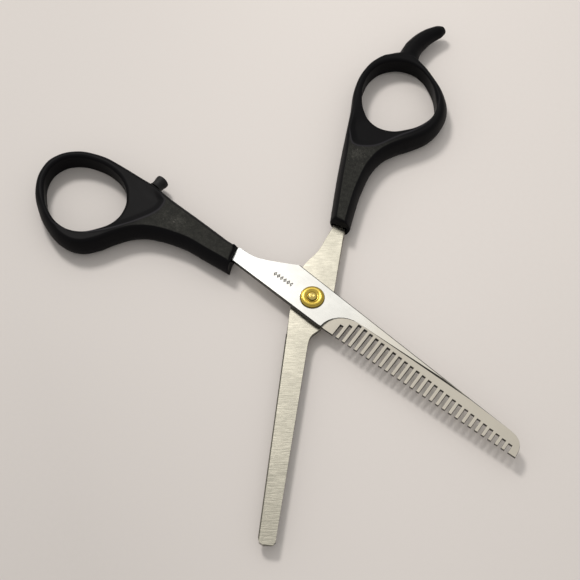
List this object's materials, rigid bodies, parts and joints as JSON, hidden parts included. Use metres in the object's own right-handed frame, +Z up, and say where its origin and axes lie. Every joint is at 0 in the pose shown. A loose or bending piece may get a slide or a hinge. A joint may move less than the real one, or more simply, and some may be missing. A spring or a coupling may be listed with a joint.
{
  "type": "thinning shears",
  "caption": "Riveted thinning shears: a toothed upper blade crosses a plain lower blade, each in a black moulded ring handle, one with a hooked finger rest.",
  "frame": {"origin": "middle of the footprint, on the surface that the shears lie on", "axes": "+X along the plain blade towards its tip, +Z up along the pivot"},
  "size_m": [0.1778, 0.1436, 0.0078],
  "materials": {
    "blade_steel": "fine brushed satin",
    "comb_steel": "polished spine, satin ground face",
    "thumb_plastic": "fine satin grain",
    "finger_plastic": "fine satin grain",
    "bumper_rubber": "matte",
    "rosette_brass": "bright",
    "washer_brass": "satin",
    "rivet_brass": "bright"
  },
  "bodies": {
    "finger_half": {"straight_blade": "blade_steel", "finger_handle": "finger_plastic", "pivot_rivet": "rivet_brass", "pivot_rosette": "rosette_brass", "back_washer": "washer_brass"},
    "thumb_half": {"comb_blade": "comb_steel", "thumb_handle": "thumb_plastic", "stop_bumper": "bumper_rubber"}
  },
  "joints": [
    {"name": "blade_pivot", "type": "hinge", "parent": "finger_half", "child": "thumb_half", "pos_m": [0.01857, 0.01373, 0.0039], "axis": [0, 0, 1], "range_deg": [-57.4, 89.5]}
  ]
}
